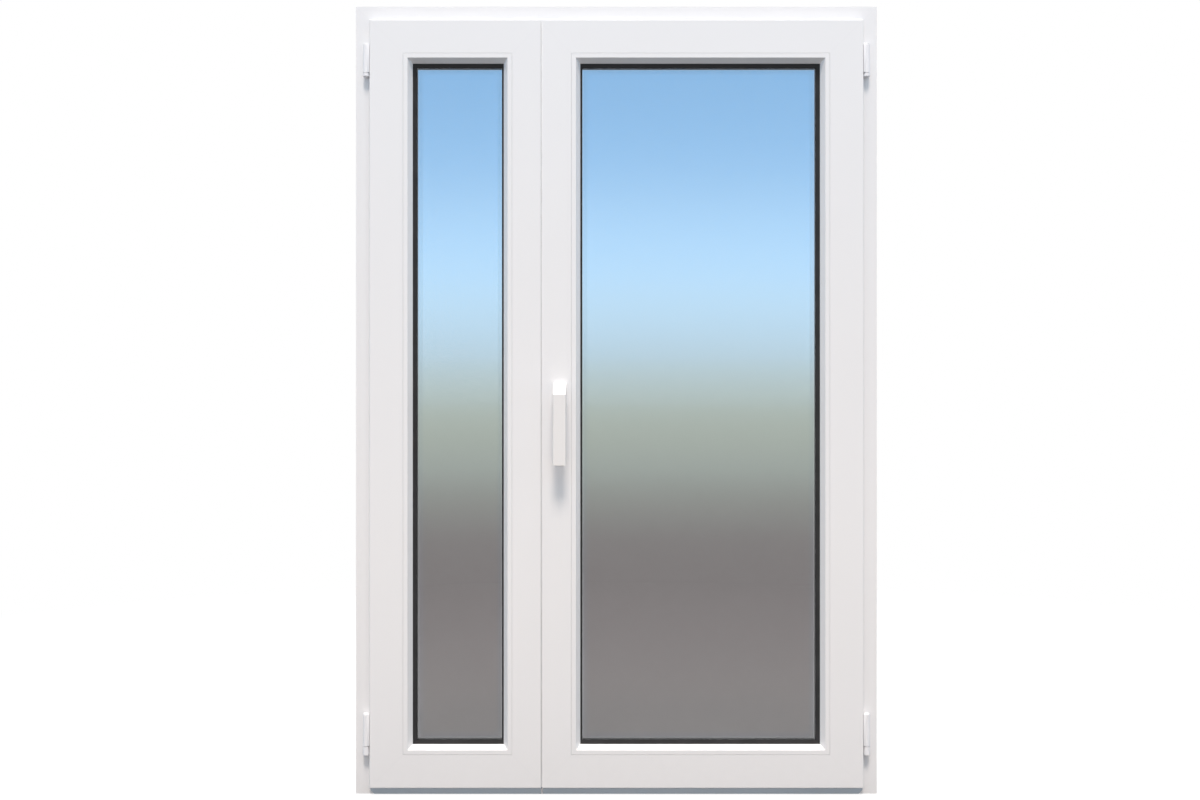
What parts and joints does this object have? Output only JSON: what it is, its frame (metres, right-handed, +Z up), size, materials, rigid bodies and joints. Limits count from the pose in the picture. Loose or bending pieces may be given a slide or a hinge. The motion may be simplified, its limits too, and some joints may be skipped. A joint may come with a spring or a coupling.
{
  "type": "french doors",
  "caption": "White plastic French doors with a narrow passive leaf and a wide locking leaf, double glazing, barrel hinges, lever handle, low grey threshold and frame",
  "frame": {"origin": "middle of the threshold's underside, halfway through the outer frame's depth", "axes": "+X to the right seen from the room, +Y out of doors, +Z up"},
  "size_m": [1.324, 0.144, 2],
  "materials": {
    "white_profile": "smooth satin-gloss white plastic profile",
    "white_coating": "white powder coat",
    "glazing": "clear float glass",
    "black_rubber": "black extruded rubber",
    "edge_spacer": "black warm-edge spacer and sealant",
    "packing_plastic": "dark moulded plastic",
    "grey_aluminium": "grey anodised extrusion",
    "zinc_steel": "zinc-plated steel"
  },
  "bodies": {
    "frame": {"outer_frame": "white_profile", "threshold_base": "packing_plastic", "threshold_rail": "grey_aluminium", "threshold_joint_strip": "white_profile", "frame_gasket": "black_rubber", "head_bolt_keep": "zinc_steel", "threshold_bolt_keep": "zinc_steel", "right_upper_hinge_bracket": "white_coating", "right_lower_hinge_bracket": "white_coating", "left_upper_hinge_bracket": "white_coating", "left_lower_hinge_bracket": "white_coating", "hinge_pins": "zinc_steel", "hinge_bracket_screws": "zinc_steel"},
    "active_leaf": {"active_sash": "white_profile", "active_bead_top": "white_profile", "active_bead_bottom": "white_profile", "active_bead_meeting": "white_profile", "active_bead_hinge": "white_coating", "active_inner_pane": "glazing", "active_outer_pane": "glazing", "active_spacer": "edge_spacer", "active_inner_gasket": "black_rubber", "active_outer_gasket": "black_rubber", "active_setting_blocks": "packing_plastic", "active_overlap_gasket": "black_rubber", "active_meeting_seal": "black_rubber", "active_bottom_seal": "black_rubber", "active_upper_hinge": "white_coating", "active_lower_hinge": "white_coating", "active_hinge_screws": "zinc_steel", "lock_faceplate": "zinc_steel", "lock_gearbox": "zinc_steel", "handle_base": "white_coating", "handle_screws": "zinc_steel"},
    "handle": {"handle_lever": "white_coating", "handle_spindle": "zinc_steel", "lock_pinion": "zinc_steel"},
    "upper_rod": {"upper_lock_rod": "zinc_steel"},
    "lower_rod": {"lower_lock_rod": "zinc_steel"},
    "passive_leaf": {"passive_sash": "white_profile", "passive_bead_top": "white_profile", "passive_bead_bottom": "white_profile", "passive_bead_meeting": "white_profile", "passive_bead_hinge": "white_coating", "passive_inner_pane": "glazing", "passive_outer_pane": "glazing", "passive_spacer": "edge_spacer", "passive_inner_gasket": "black_rubber", "passive_outer_gasket": "black_rubber", "passive_setting_blocks": "packing_plastic", "passive_overlap_gasket": "black_rubber", "passive_meeting_seal": "black_rubber", "passive_bottom_seal": "black_rubber", "passive_upper_hinge": "white_coating", "passive_lower_hinge": "white_coating", "passive_hinge_screws": "zinc_steel", "lock_keeps": "zinc_steel", "flush_bolt_plates": "zinc_steel"},
    "upper_bolt": {"upper_flush_bolt": "zinc_steel"},
    "lower_bolt": {"lower_flush_bolt": "zinc_steel"}
  },
  "joints": [
    {"name": "active_leaf_hinge", "type": "hinge", "parent": "frame", "child": "active_leaf", "pos_m": [0.6339, -0.049, 0], "axis": [0, 0, 1], "range_deg": [0, 100]},
    {"name": "passive_leaf_hinge", "type": "hinge", "parent": "frame", "child": "passive_leaf", "pos_m": [-0.6339, -0.049, 0], "axis": [0, 0, -1], "range_deg": [0, 100]},
    {"name": "handle_turn", "type": "hinge", "parent": "active_leaf", "child": "handle", "pos_m": [-0.143, -0.065, 1.016], "axis": [0, -1, 0], "range_deg": [0, 90]},
    {"name": "upper_rod_slide", "type": "slide", "parent": "active_leaf", "child": "upper_rod", "axis": [0, 0, 1], "range_m": [-0.01885, 0]},
    {"name": "lower_rod_slide", "type": "slide", "parent": "active_leaf", "child": "lower_rod", "axis": [0, 0, 1], "range_m": [0, 0.01885]},
    {"name": "upper_bolt_slide", "type": "slide", "parent": "passive_leaf", "child": "upper_bolt", "axis": [0, 0, 1], "range_m": [0, 0.024]},
    {"name": "lower_bolt_slide", "type": "slide", "parent": "passive_leaf", "child": "lower_bolt", "axis": [0, 0, -1], "range_m": [0, 0.024]}
  ],
  "couplings": [
    {"joint": "upper_rod_slide", "follows": "handle_turn", "m_per_rad": -0.012},
    {"joint": "lower_rod_slide", "follows": "handle_turn", "m_per_rad": 0.012}
  ]
}
